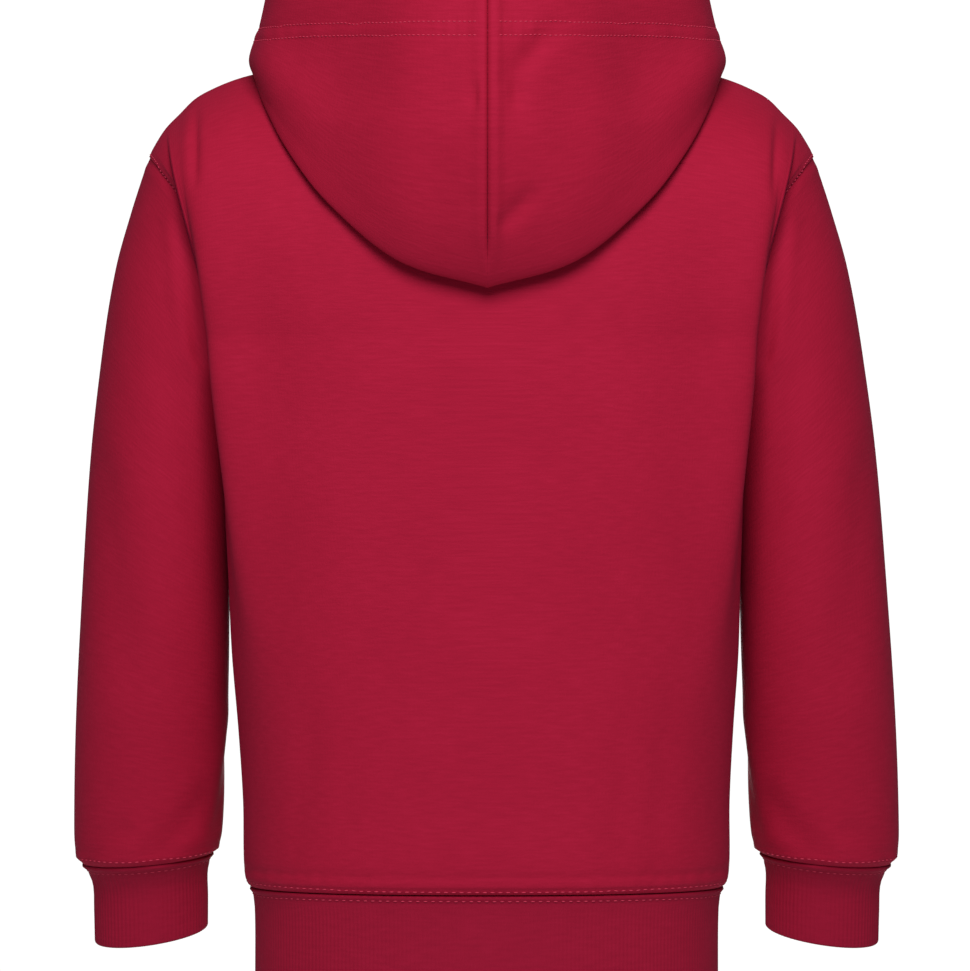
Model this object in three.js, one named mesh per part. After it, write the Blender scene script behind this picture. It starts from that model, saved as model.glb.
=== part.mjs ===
// A child's pullover hoodie, filled out as when worn, with the hood down.
// Millimetres, +Z up. The wearer faces -Y and their left side is +X.
// The origin is in the middle of the neck, level with the high points of the shoulders.
import * as THREE from "three";

// Cloth and seams.
const FLEECE = 2.2; // one layer of brushed sweatshirt fleece
const HOOD_CLOTH = 3; // the hood is two layers of the same fleece
const RIB_CLOTH = 2.8; // the rib is folded double
const SEAM_GAP = 0.3; // between two pieces at a seam

// Levels of the body.
const UNDERARM_Z = -140;
const HEM_SEAM_Z = -412.5;
const HEM_DEPTH = 46;

// Sections of the body up to the underarm. corner says how square one is, where 2 is an
// ellipse. fold is how far the cloth stands out in the fold behind and before the sleeve.
const BODY_SECTIONS = [
  { z: HEM_SEAM_Z, halfWidth: 118.4, back: 73, front: 73, corner: 2.4, fold: 0 },
  { z: -405, halfWidth: 121, back: 77, front: 77, corner: 2.4, fold: 0 },
  { z: -370, halfWidth: 121.5, back: 77.5, front: 77.5, corner: 2.45, fold: 0 },
  { z: -335, halfWidth: 123.5, back: 78, front: 78, corner: 2.5, fold: 0 },
  { z: -295, halfWidth: 126.5, back: 79, front: 78, corner: 2.6, fold: 2 },
  { z: -250, halfWidth: 128, back: 80, front: 78, corner: 2.8, fold: 7 },
  { z: -200, halfWidth: 130, back: 81, front: 77, corner: 3, fold: 11 },
  { z: -165, halfWidth: 132, back: 81, front: 76, corner: 3.1, fold: 13 },
  { z: UNDERARM_Z, halfWidth: 133, back: 80, front: 75, corner: 3.1, fold: 14 },
];
const FOLD_AT = 32; // degrees round from the side seam
const FOLD_SPREAD = 11;
const FOLD_DEEPER = 0.3; // of its height, that a fold also stands out behind or before
const SLEEVE_CLEARANCE = { seam: 1.5, below: 2.8, over: 8 }; // from the sleeve; it grows over 8 mm
const SOFT_MEETING = 4; // radius where the body's own shape meets that limit
const FAR = 1000; // stands for no limit
const UNDERARM_V = 0.6; // share of a panel that lies below the underarm

// The armhole is nearly an ellipse in a slanting plane, from the shoulder tip to the underarm.
const SHOULDER_TIP = new THREE.Vector3(166, 0, -48.5);
const UNDERARM = new THREE.Vector3(120, 0, UNDERARM_Z);
const ARMHOLE_HALF_DEPTH = 48;
const ARMHOLE_BOW = 9; // the seam runs this far inside the plane behind and before
const BOW_ENDS = 0.25; // share of the sleeve over which its rings lose that bow

// The neckline, and the shoulder seam from the neck to the tip.
const NECK_HALF_WIDTH = 66;
const NECK_Y = -6;
const NECK_BACK = { depth: 54, drop: 8 };
const NECK_FRONT = { depth: 52, drop: 38 };
const SHOULDER_LINE = [
  { x: NECK_HALF_WIDTH, z: 0 },
  { x: 90, z: -3 },
  { x: 110, z: -6 },
  { x: 123, z: -9.5 },
  { x: 135, z: -14.5 },
  { x: 143.5, z: -19.5 },
  { x: 150.5, z: -26.5 },
  { x: 158, z: -34.5 },
  { x: 164.2, z: -44.5 },
  { x: SHOULDER_TIP.x, z: SHOULDER_TIP.z },
];
const NECK_SHARE = 1 / 3; // of a panel's columns, counted from its side, that end on the shoulder

// The curve that each column of a panel takes from the underarm level to the top edge.
const BACK_RISE = { y: 1, chest: 6, chestMiddle: 1, shoulder: 76, neck: 70, neckDrop: 26 };
const FRONT_RISE = { y: -1, chest: 6, chestMiddle: 1, shoulder: 68, neck: 70, neckDrop: 26 };
const CHEST_RISE = 40;
const RISE_STEP = 2; // height over which the slope at the underarm is taken
const FOLD_RISE = { low: 2, high: 4 }; // how far the fold stands out on its way up
const MIDDLE_FROM = 0.27; // share of the panel from which a column belongs to its middle
const ARM_FADE = 0.14; // share of the panel over which the armhole's own curve fades out
const FOLD_COLUMN = FOLD_AT / 180;
const FOLD_END = 0.3;

// The columns of half a panel, and its rows from the hem to the underarm.
const PANEL_COLUMNS = [0, 0.035, 0.07, 0.105, 0.15, 0.19, 0.235, 0.285, NECK_SHARE, 0.385, 0.44, 0.5];
const PANEL_ROWS = [0, 0.014, 0.05, 0.12, 0.2, 0.28, 0.36, 0.44, 0.52];
const ROWS_ABOVE_UNDERARM = 9;

// Sections of a sleeve from the armhole to the cuff seam: its outer and its inner point,
// the place of its middle, its half depth from front to back, and its lean in degrees.
const SLEEVE_SECTIONS = [
  { at: 0, outX: 166, outZ: -48.5, inX: 120, inZ: -140, midY: 0, halfDepth: 48, lean: 0 },
  { at: 0.09, outX: 175, outZ: -76, inX: 121.6, inZ: -157, midY: -1, halfDepth: 46.5, lean: 0 },
  { at: 0.2, outX: 183.4, outZ: -106, inX: 123.4, inZ: -180, midY: -3, halfDepth: 44, lean: 0 },
  { at: 0.35, outX: 191, outZ: -151, inX: 125.6, inZ: -212, midY: -6, halfDepth: 42, lean: 1 },
  { at: 0.52, outX: 197.8, outZ: -212, inX: 127.8, inZ: -255, midY: -12, halfDepth: 40, lean: 2 },
  { at: 0.68, outX: 203, outZ: -272, inX: 129, inZ: -300, midY: -20, halfDepth: 38, lean: 3 },
  { at: 0.82, outX: 207, outZ: -330, inX: 131, inZ: -344, midY: -29, halfDepth: 36, lean: 4 },
  { at: 0.94, outX: 209, outZ: -382, inX: 134, inZ: -384, midY: -38, halfDepth: 34.5, lean: 5 },
  { at: 0.98, outX: 208.4, outZ: -398, inX: 135.8, inZ: -394, midY: -40.5, halfDepth: 33.5, lean: 5 },
  { at: 1, outX: 205, outZ: -404, inX: 139, inZ: -398.5, midY: -41.5, halfDepth: 30, lean: 5 },
];
// The cuff, from its seam to its open end.
const CUFF_SECTIONS = [
  { at: 0, outX: 204.8, outZ: -404.4, inX: 139.2, inZ: -398.9, midY: -41.6, halfDepth: 29.8, lean: 5 },
  { at: 0.25, outX: 200.2, outZ: -414, inX: 141.6, inZ: -408, midY: -43, halfDepth: 23.6, lean: 8 },
  { at: 0.6, outX: 199.6, outZ: -428, inX: 141.6, inZ: -421, midY: -45.5, halfDepth: 22.2, lean: 10 },
  { at: 1, outX: 199.4, outZ: -445, inX: 141.8, inZ: -437, midY: -48.5, halfDepth: 22, lean: 12 },
];
// Soft creases of a sleeve: round it (0 outer, 0.25 back, 0.5 inner, 0.75 front) and along it.
const SLEEVE_CREASES = [
  { turn: 0.2, along: 0.04, endTurn: 0.36, endAlong: 0.3, width: 9, depth: 2.6 },
  { turn: 0.3, along: 0.03, endTurn: 0.42, endAlong: 0.2, width: 7, depth: 2.2 },
  { turn: 0.8, along: 0.04, endTurn: 0.62, endAlong: 0.28, width: 9, depth: 2.4 },
  { turn: 0.42, along: 0.86, endTurn: 0.3, endAlong: 0.97, width: 7, depth: 1.8 },
  { turn: 0.62, along: 0.88, endTurn: 0.78, endAlong: 0.96, width: 7, depth: 1.6 },
];
const SLEEVE_GIRTH = 240;
const SLEEVE_LENGTH = 320;
const SLEEVE_SIDES = 30;
const SLEEVE_ROWS = [0, 0.03, 0.08, 0.14, 0.21, 0.29, 0.38, 0.48, 0.58, 0.68, 0.78, 0.87, 0.94, 0.98, 1];
const LAP = { height: 1, over: 0.06 }; // the body's edge stands proud of the sleeve at the armhole
const ARMHOLE_GAP = SEAM_GAP + 0.1;

// The hem band, from its seam to its open edge.
const HEM_SECTIONS = [
  { at: 0, halfWidth: 117.6, back: 72.2, front: 72.2, corner: 2.4 },
  { at: 0.22, halfWidth: 115.9, back: 70.4, front: 70.4, corner: 2.4 },
  { at: 1, halfWidth: 115.6, back: 70, front: 70, corner: 2.4 },
];
const RIB_PITCH = 2.4;
const RIB_RELIEF = 0.7;
const RIBS_PER_INNER_SIDE = 3; // outer ribs for each flat of the plain inside
const CUFF_ROWS = [0, 0.12, 0.25, 0.5, 1];
const HEM_ROWS = [0, 0.22, 1];
const MEASURING_STEPS = 720; // chords that a ring's girth is measured with

// The hood lies down as a pouch round the neck. Each profile runs from the neck seam, over
// a crest, down to the fold that rests on the shoulders and back, and up to the rim.
// turn is 0 at the side of the neck and 1 at the middle of the back (or of the front).
const HOOD_BACK = [
  { turn: 0, foldX: 115, foldY: 4, foldZ: -7,
    bellyX: 118.8, bellyY: 9, bellyZ: 0, rimX: 110, rimY: 12, rimZ: 33 },
  { turn: 0.2, foldX: 109, foldY: 39.5, foldZ: -27,
    bellyX: 113, bellyY: 41, bellyZ: -6, rimX: 103, rimY: 41, rimZ: 32 },
  { turn: 0.4, foldX: 97, foldY: 61.5, foldZ: -50,
    bellyX: 98.5, bellyY: 65, bellyZ: -15, rimX: 87, rimY: 65, rimZ: 31 },
  { turn: 0.6, foldX: 77, foldY: 75.5, foldZ: -76,
    bellyX: 75.5, bellyY: 88, bellyZ: -31, rimX: 64, rimY: 88, rimZ: 30 },
  { turn: 0.8, foldX: 43, foldY: 85, foldZ: -104,
    bellyX: 42, bellyY: 109.5, bellyZ: -42, rimX: 35, rimY: 107, rimZ: 29 },
  { turn: 1, foldX: 0, foldY: 86, foldZ: -117,
    bellyX: 0, bellyY: 121, bellyZ: -47, rimX: 0, rimY: 118, rimZ: 28 },
];
const HOOD_FRONT = [
  { turn: 0, foldX: 115, foldY: 4, foldZ: -7,
    bellyX: 118.8, bellyY: 9, bellyZ: 0, rimX: 110, rimY: 12, rimZ: 33 },
  { turn: 0.25, foldX: 107, foldY: -30, foldZ: -7,
    bellyX: 112, bellyY: -29, bellyZ: 2, rimX: 102, rimY: -24, rimZ: 30 },
  { turn: 0.5, foldX: 82, foldY: -57, foldZ: -12,
    bellyX: 84, bellyY: -62, bellyZ: -3, rimX: 76, rimY: -54, rimZ: 19 },
  { turn: 0.75, foldX: 44, foldY: -68, foldZ: -26,
    bellyX: 44, bellyY: -74, bellyZ: -16, rimX: 39, rimY: -69, rimZ: 1 },
  { turn: 1, foldX: 0, foldY: -64, foldZ: -30,
    bellyX: 0, bellyY: -71, bellyZ: -22, rimX: 0, rimY: -73, rimZ: -12 },
];
const CREST = { halfWidth: 80, y: -4, back: 66, front: 56, height: 31, backRise: 3, frontDrop: 62 };
const CREST_AT_RIM = 0.3; // share of the way to the rim where the low crest of the throat lies
const STAND_IN = 0.08; // the stand leans in, as a share of how far out the crest lies
const DESCENT_OUT = 0.15; // the cloth's bulge on its way down from the crest
const OVER_LIFT = 0.5;
const FOLD_BULGE = 0.24;
const RIM_LEAN = { side: -0.8, middle: 1.5 };
const CENTRE_SEAM_WELT = { width: 9, height: 1.4, from: 0.62, to: 0.72 };
const HOOD_LIFT = 2.2; // the hood's neck edge above the outer edge of the neckline
const LIFT_ENDS = 0.1;
const FRONT_OPENING = 3; // between the two front edges of the hood at the throat
const HOOD_ROUND = [
  ...[0, 0.06, 0.13, 0.21, 0.29, 0.37, 0.44, 0.5, 0.55, 0.6],
  ...[0.65, 0.7, 0.75, 0.8, 0.85, 0.9, 0.94, 0.975, 1],
];
const HOOD_ROWS = 22;

// Colours, as matt cloth.
const SWEATSHIRT_RED = 0xa51c38;
const RIB_RED = 0x981731;

const fleeceCloth = new THREE.MeshStandardMaterial({ color: SWEATSHIRT_RED, roughness: 0.95, metalness: 0 });
const ribCloth = new THREE.MeshStandardMaterial({ color: RIB_RED, roughness: 0.95, metalness: 0 });

const vec = (x, y, z) => new THREE.Vector3(x, y, z);
const radians = THREE.MathUtils.degToRad;
const mix = THREE.MathUtils.lerp;
const power = (value, exponent) => Math.sign(value) * Math.abs(value) ** exponent;
const bell = (distance, spread) => Math.exp(-((distance / spread) ** 2));
const fade = (value, start, end) => THREE.MathUtils.smoothstep(value, start, end);

// One column of a table at a value of its key, on a smooth curve through the rows.
function read(table, key, column, value) {
  const rising = table[0][key] < table[table.length - 1][key];
  const rows = rising ? table : [...table].reverse();
  const last = rows.length - 2;
  let i = 0;
  while (i < last && value > rows[i + 1][key]) i += 1;
  const slope = (a, b) => (rows[b][column] - rows[a][column]) / (rows[b][key] - rows[a][key]);
  const slopeAt = (k) => slope(Math.max(k - 1, 0), Math.min(k + 1, last + 1));
  const span = rows[i + 1][key] - rows[i][key];
  const t = THREE.MathUtils.clamp((value - rows[i][key]) / span, 0, 1);
  const t2 = t * t;
  const t3 = t2 * t;
  return (
    (2 * t3 - 3 * t2 + 1) * rows[i][column] +
    (t3 - 2 * t2 + t) * span * slopeAt(i) +
    (3 * t2 - 2 * t3) * rows[i + 1][column] +
    (t3 - t2) * span * slopeAt(i + 1)
  );
}

// Even steps between two values, both included.
function steps(from, to, count) {
  return Array.from({ length: count + 1 }, (_, i) => mix(from, to, i / count));
}

// The normal of a surface at (u, v). turn is 1 or -1, for the side that faces out.
function normalOf(surface, u, v, turn) {
  const e = 1e-3;
  const across = surface(u + e, v).sub(surface(u - e, v));
  const up = surface(u, Math.min(v + e, 1)).sub(surface(u, Math.max(v - e, 0)));
  return across.cross(up).normalize().multiplyScalar(turn);
}

// A closed mesh from points and triangles, turned so that its faces point out.
function solid(points, triangles) {
  let volume = 0;
  for (const [a, b, c] of triangles) {
    volume += points[a].dot(points[b].clone().cross(points[c]));
  }
  const index = volume < 0 ? triangles.map(([a, b, c]) => [a, c, b]) : triangles;
  const geometry = new THREE.BufferGeometry().setFromPoints(points);
  geometry.setIndex(index.flat());
  geometry.computeVertexNormals();
  return geometry;
}

// A wall of cloth. grid[i][j] holds an outer point and the way out of the cloth there.
// The wall is closed into a tube across j when round is true, and its free edges are capped.
function wall(grid, thickness, round) {
  const rows = grid.length;
  const columns = grid[0].length;
  const flat = grid.flat();
  const outer = flat.map((g) => g.point);
  const inner = flat.map((g) => g.point.clone().addScaledVector(g.normal, -thickness));
  const half = outer.length;
  const triangles = [];
  const quad = (a, b, c, d) => triangles.push([a, b, c], [a, c, d]);
  const at = (i, j) => i * columns + (j % columns);
  const across = round ? columns : columns - 1;
  for (let i = 0; i < rows - 1; i += 1) {
    for (let j = 0; j < across; j += 1) {
      const [a, b, c, d] = [at(i, j), at(i, j + 1), at(i + 1, j + 1), at(i + 1, j)];
      quad(a, b, c, d);
      quad(half + a, half + d, half + c, half + b);
    }
  }
  for (let j = 0; j < across; j += 1) {
    quad(at(0, j + 1), at(0, j), half + at(0, j), half + at(0, j + 1));
    quad(at(rows - 1, j), at(rows - 1, j + 1), half + at(rows - 1, j + 1), half + at(rows - 1, j));
  }
  if (!round) {
    const end = columns - 1;
    for (let i = 0; i < rows - 1; i += 1) {
      quad(at(i, 0), at(i + 1, 0), half + at(i + 1, 0), half + at(i, 0));
      quad(at(i + 1, end), at(i, end), half + at(i, end), half + at(i + 1, end));
    }
  }
  return solid([...outer, ...inner], triangles);
}

// A tube of ribbed cloth: a ribbed outside, a plain inside with fewer sides, capped ends.
function ribbedWall(outerRings, innerRings) {
  const outerCount = outerRings[0].length;
  const innerCount = innerRings[0].length;
  const each = outerCount / innerCount;
  const innerStart = outerRings.length * outerCount;
  const triangles = [];
  const tube = (start, count, rings, flip) => {
    for (let i = 0; i < rings - 1; i += 1) {
      for (let j = 0; j < count; j += 1) {
        const a = start + i * count + j;
        const b = start + i * count + ((j + 1) % count);
        const [c, d] = [b + count, a + count];
        if (flip) triangles.push([a, c, b], [a, d, c]);
        else triangles.push([a, b, c], [a, c, d]);
      }
    }
  };
  tube(0, outerCount, outerRings.length, false);
  tube(innerStart, innerCount, innerRings.length, true);
  const cap = (outerRing, innerRing, flip) => {
    for (let j = 0; j < innerCount; j += 1) {
      const here = innerStart + innerRing * innerCount + j;
      const next = innerStart + innerRing * innerCount + ((j + 1) % innerCount);
      const edge = (k) => outerRing * outerCount + ((j * each + k) % outerCount);
      const faces = [[edge(each / 2), here, next]];
      for (let k = 0; k < each; k += 1) {
        faces.push([edge(k + 1), edge(k), k < each / 2 ? here : next]);
      }
      triangles.push(...faces.map(([a, b, c]) => (flip ? [a, c, b] : [a, b, c])));
    }
  };
  cap(0, 0, false);
  cap(outerRings.length - 1, innerRings.length - 1, true);
  return solid([...outerRings.flat(), ...innerRings.flat()], triangles);
}

// A rounded section of the body at an angle in degrees from the +X side.
function section({ halfWidth, back, front, corner }, angle) {
  const across = Math.cos(radians(angle));
  const deep = Math.sin(radians(angle));
  const depth = deep > 0 ? back : front;
  return { x: halfWidth * power(across, 2 / corner), y: depth * power(deep, 2 / corner) };
}

// The lesser of two lengths, rounded where they cross.
function roundedLesser(a, b, radius) {
  const share = THREE.MathUtils.clamp(0.5 + (b - a) / (2 * radius), 0, 1);
  return mix(b, a, share) - radius * share * (1 - share) * 0.5;
}

// How far out the body may stand at a place beside the sleeve or the armhole.
function besideSleeve(y, z) {
  const inner = (along) => {
    const get = (column) => read(SLEEVE_SECTIONS, "at", column, along);
    const lean = radians(get("lean"));
    const deep = (y - get("midY")) / (get("halfDepth") * Math.cos(lean));
    if (Math.abs(deep) >= 1) return null;
    const back = (1 + Math.sqrt(1 - deep * deep)) / 2;
    const bow = ARMHOLE_BOW * deep * deep * (1 - fade(along, 0, BOW_ENDS));
    return {
      x: mix(get("outX"), get("inX"), back) - bow,
      z: mix(get("outZ"), get("inZ"), back) - Math.sin(lean) * get("halfDepth") * deep,
    };
  };
  const first = inner(0);
  if (first === null) return FAR;
  if (z >= first.z) {
    const bow = ARMHOLE_BOW * (y / ARMHOLE_HALF_DEPTH) ** 2;
    const share = (SHOULDER_TIP.z - z) / (SHOULDER_TIP.z - UNDERARM.z);
    return share > 0.5 ? mix(SHOULDER_TIP.x, UNDERARM.x, share) - bow - SLEEVE_CLEARANCE.seam : FAR;
  }
  let low = 0;
  let high = 1;
  for (let halving = 0; halving < 30; halving += 1) {
    const middle = (low + high) / 2;
    const ring = inner(middle);
    if (ring !== null && ring.z > z) low = middle;
    else high = middle;
  }
  const { seam, below, over } = SLEEVE_CLEARANCE;
  return high === 1 ? FAR : inner(low).x - mix(seam, below, fade(first.z - z, 0, over));
}

// A point of the body up to the underarm.
function lowerBody(angle, z) {
  const columns = ["halfWidth", "back", "front", "corner", "fold"];
  const size = Object.fromEntries(columns.map((c) => [c, read(BODY_SECTIONS, "z", c, z)]));
  const { x, y } = section(size, angle);
  const fromSide = THREE.MathUtils.radToDeg(Math.asin(Math.abs(Math.sin(radians(angle)))));
  const side = Math.sign(Math.cos(radians(angle)));
  const fold = size.fold * bell(fromSide - FOLD_AT, FOLD_SPREAD);
  const depth = y + Math.sign(y) * fold * FOLD_DEEPER;
  const out = roundedLesser(Math.abs(x) + fold, besideSleeve(depth, z), SOFT_MEETING);
  return vec(side * out, depth, z);
}

// A point of the armhole: turn 0 is the shoulder tip, 0.25 the back, 0.5 the underarm.
function armhole(turn) {
  const middle = SHOULDER_TIP.clone().add(UNDERARM).multiplyScalar(0.5);
  const up = SHOULDER_TIP.clone().sub(UNDERARM).multiplyScalar(0.5);
  const angle = 2 * Math.PI * turn;
  const bow = vec(-ARMHOLE_BOW * Math.sin(angle) ** 2, ARMHOLE_HALF_DEPTH * Math.sin(angle), 0);
  return middle.addScaledVector(up, Math.cos(angle)).add(bow);
}

// A point of the neckline: turn 0 is the side of the neck and 1 the middle.
function neckline(turn, way) {
  const { depth, drop } = way > 0 ? NECK_BACK : NECK_FRONT;
  const angle = (Math.PI / 2) * turn;
  const bend = Math.sin(angle);
  return vec(NECK_HALF_WIDTH * Math.cos(angle), NECK_Y + way * depth * bend, -drop * Math.abs(bend) ** 1.5);
}

// The top edge of half a panel: the shoulder seam, then the neckline. half is 0 to 0.5.
function topEdge(half, way) {
  if (half >= NECK_SHARE) return neckline((half - NECK_SHARE) / (0.5 - NECK_SHARE), way);
  const share = Math.max(half, 0) / NECK_SHARE;
  const x = mix(SHOULDER_TIP.x, NECK_HALF_WIDTH, share ** 2);
  return vec(x, mix(0, NECK_Y, share), read(SHOULDER_LINE, "x", "z", x));
}

// A point of the body above the underarm, on the +X half. rise is 0 there and 1 at the top edge.
function upperBody(half, rise, shape) {
  const way = shape.y;
  const curve = (h) => {
    const start = lowerBody(way * 180 * h, UNDERARM_Z);
    const end = topEdge(h, way);
    const middle = fade(h, MIDDLE_FROM, 0.5);
    const out = fade(h, 0, FOLD_COLUMN) * (1 - fade(h, FOLD_COLUMN, FOLD_END));
    const below = lowerBody(way * 180 * h, UNDERARM_Z - RISE_STEP);
    const slope = start.clone().sub(below).multiplyScalar(CHEST_RISE / RISE_STEP);
    const bulge = vec(FOLD_RISE.low * out, way * mix(shape.chest, shape.chestMiddle, middle), 0);
    const first = start.clone().add(slope).add(bulge);
    const secondY = way * mix(shape.shoulder, shape.neck, middle);
    const second = vec(end.x + FOLD_RISE.high * out, secondY, end.z - shape.neckDrop);
    return new THREE.CubicBezierCurve3(start, first, second, end);
  };
  const point = curve(half).getPoint(rise);
  const edge = armhole(0.5 * (1 - rise) * way).sub(curve(0).getPoint(rise));
  point.addScaledVector(edge, 1 - fade(Math.abs(half), 0, ARM_FADE));
  if (half > 0) point.x = Math.min(point.x, besideSleeve(point.y, point.z));
  return point;
}

// A panel of the body. u runs from one side seam to the other and v from the hem to the top.
function panel(shape) {
  return (u, v) => {
    const half = u <= 0.5 ? u : 1 - u;
    const side = u <= 0.5 ? 1 : -1;
    const point =
      v <= UNDERARM_V
        ? lowerBody(shape.y * 180 * half, mix(HEM_SEAM_Z, UNDERARM_Z, v / UNDERARM_V))
        : upperBody(half, (v - UNDERARM_V) / (1 - UNDERARM_V), shape);
    return vec(side * point.x, point.y, point.z);
  };
}

// Half of the gap to the other panel, kept at the side seams and the shoulder seams.
function keepSeamGap(point, way) {
  const gap = SEAM_GAP / 2;
  if (way * point.y < gap && point.z < UNDERARM_Z + 1) point.y = way * gap;
  return point;
}

function bodyPanel(shape) {
  const surface = panel(shape);
  const way = shape.y;
  const columns = [...PANEL_COLUMNS, ...PANEL_COLUMNS.slice(0, -1).reverse().map((u) => 1 - u)];
  const rows = [...PANEL_ROWS, ...steps(UNDERARM_V, 1, ROWS_ABOVE_UNDERARM)];
  const grid = rows.map((v) =>
    columns.map((u) => {
      const onSideSeam = (u === 0 || u === 1) && v <= UNDERARM_V;
      const half = Math.min(u, 1 - u);
      const onShoulder = v === 1 && half <= NECK_SHARE;
      const point = keepSeamGap(surface(u, v), way);
      const normal = normalOf(surface, u, v, way);
      if (onShoulder) point.y += (way * SEAM_GAP) / 2;
      if (onShoulder || onSideSeam) normal.setY(0).normalize();
      if (v === 0) normal.setZ(0).normalize();
      return { point, normal };
    }),
  );
  return wall(grid, FLEECE, false);
}

// A point or direction of the +X side, kept there (side 1) or mirrored to the -X side (-1).
function onSide(v, side) {
  return vec(side * v.x, v.y, v.z);
}

// A ring of a sleeve or cuff on the +X side. turn 0 is the outer side and 0.25 the back.
function armRing(table, along, turn) {
  const get = (column) => read(table, "at", column, along);
  const outer = vec(get("outX"), get("midY"), get("outZ"));
  const inner = vec(get("inX"), get("midY"), get("inZ"));
  const lean = radians(get("lean"));
  const deep = vec(0, Math.cos(lean), -Math.sin(lean)).multiplyScalar(get("halfDepth"));
  const angle = 2 * Math.PI * turn;
  const middle = outer.clone().add(inner).multiplyScalar(0.5);
  const across = outer.sub(inner).multiplyScalar(0.5);
  const bowed = table === SLEEVE_SECTIONS ? 1 - fade(along, 0, BOW_ENDS) : 0;
  const bow = ARMHOLE_BOW * Math.sin(angle) ** 2 * bowed;
  middle.addScaledVector(across, Math.cos(angle)).addScaledVector(deep, Math.sin(angle));
  return middle.sub(vec(bow, 0, 0));
}

// How deep the creases of a sleeve are at a place on it.
function creaseDepth(turn, along) {
  const flat = (t, a) => vec(t * SLEEVE_GIRTH, a * SLEEVE_LENGTH, 0);
  return SLEEVE_CREASES.reduce((depth, crease) => {
    const run = flat(crease.endTurn - crease.turn, crease.endAlong - crease.along);
    const here = flat(turn - crease.turn, along - crease.along);
    const share = THREE.MathUtils.clamp(here.dot(run) / run.lengthSq(), 0, 1);
    const off = here.addScaledVector(run, -share).length();
    return depth + crease.depth * bell(off, crease.width);
  }, 0);
}

function sleeve(side) {
  const plane = UNDERARM.clone().sub(SHOULDER_TIP).cross(vec(0, 1, 0)).normalize();
  const away = plane.x > 0 ? plane : plane.negate();
  const surface = (turn, along) => armRing(SLEEVE_SECTIONS, along, turn);
  const grid = SLEEVE_ROWS.map((along) =>
    steps(0, 1, SLEEVE_SIDES)
      .slice(0, -1)
      .map((turn) => {
        const normal = normalOf(surface, turn, along, -1);
        if (along === 0) normal.addScaledVector(away, -normal.dot(away)).normalize();
        const inward = creaseDepth(turn, along) * fade(along, 0, 0.04) * (1 - fade(along, 0.97, 1));
        const lap = LAP.height * (1 - fade(along, 0, LAP.over));
        const point = surface(turn, along)
          .addScaledVector(normal, -inward - lap)
          .addScaledVector(away, ARMHOLE_GAP * (1 - fade(along, 0, LAP.over / 2)));
        return { point: onSide(point, side), normal: onSide(normal, side) };
      }),
  );
  return wall(grid, FLEECE, true);
}

// Turns of a closed ring that lie evenly along it.
function evenTurns(ring, count) {
  const fine = steps(0, 1, MEASURING_STEPS);
  const points = fine.map(ring);
  const lengths = points.map((p, i) => (i ? p.distanceTo(points[i - 1]) : 0));
  const along = lengths.reduce((sum, l) => [...sum, (sum.at(-1) ?? 0) + l], []);
  return steps(0, along.at(-1), count)
    .slice(0, -1)
    .map((wanted) => {
      const i = Math.max(1, along.findIndex((l) => l >= wanted));
      return mix(fine[i - 1], fine[i], (wanted - along[i - 1]) / (along[i] - along[i - 1]));
    });
}

function girth(ring) {
  const points = steps(0, 1, MEASURING_STEPS).map(ring);
  return points.reduce((sum, p, i) => (i ? sum + p.distanceTo(points[i - 1]) : 0), 0);
}

// Rib-knit tube: surface(turn, along), with along 0 at the seam and 1 at the open edge.
function ribKnit(surface, rows, side) {
  const rim = (turn) => surface(turn, 1);
  const innerCount = Math.round(girth(rim) / RIB_PITCH / RIBS_PER_INNER_SIDE);
  const outerTurns = evenTurns(rim, innerCount * RIBS_PER_INNER_SIDE * 2);
  const innerTurns = evenTurns(rim, innerCount);
  const at = (turn, along, inward) => {
    const normal = normalOf(surface, turn, along, -1);
    if (along === 0 || along === 1) {
      const [a, b, c] = [0, 1 / 3, 2 / 3].map((third) => surface(third, along));
      const axis = b.sub(a).cross(c.sub(a)).normalize();
      normal.addScaledVector(axis, -normal.dot(axis)).normalize();
    }
    return onSide(surface(turn, along).addScaledVector(normal, -inward), side);
  };
  const outer = rows.map((along) => outerTurns.map((turn, j) => at(turn, along, j % 2 ? RIB_RELIEF : 0)));
  const inner = rows.map((along) => innerTurns.map((turn) => at(turn, along, RIB_CLOTH)));
  return ribbedWall(outer, inner);
}

function cuff(side) {
  return ribKnit((turn, along) => armRing(CUFF_SECTIONS, along, turn), CUFF_ROWS, side);
}

function hemBand() {
  const top = HEM_SEAM_Z - SEAM_GAP;
  const surface = (turn, along) => {
    const columns = ["halfWidth", "back", "front", "corner"];
    const size = Object.fromEntries(columns.map((c) => [c, read(HEM_SECTIONS, "at", c, along)]));
    const { x, y } = section(size, -360 * turn);
    return vec(x, -y, mix(top, HEM_SEAM_Z - HEM_DEPTH, along));
  };
  return ribKnit(surface, HEM_ROWS, 1);
}

// The named points of the hood's profile at a turn round the neck: way 1 is behind, -1 before.
function hoodProfile(turn, way) {
  const table = way > 0 ? HOOD_BACK : HOOD_FRONT;
  const get = (name) => vec(...["X", "Y", "Z"].map((axis) => read(table, "turn", name + axis, turn)));
  const seam = neckline(turn, way);
  const angle = (Math.PI / 2) * turn;
  const bend = Math.sin(angle);
  const fullCrest = vec(
    CREST.halfWidth * Math.cos(angle),
    CREST.y + way * (way > 0 ? CREST.back : CREST.front) * bend,
    CREST.height + (way > 0 ? CREST.backRise * bend : -CREST.frontDrop * bend ** 1.6),
  );
  const [fold, belly, rim] = [get("fold"), get("belly"), get("rim")];
  const open = way > 0 ? 1 : 1 - fade(turn, 0.2, 1);
  const crest = seam.clone().lerp(rim, CREST_AT_RIM).lerp(fullCrest, open);
  return { seam, crest, fold, belly, rim };
}

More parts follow.
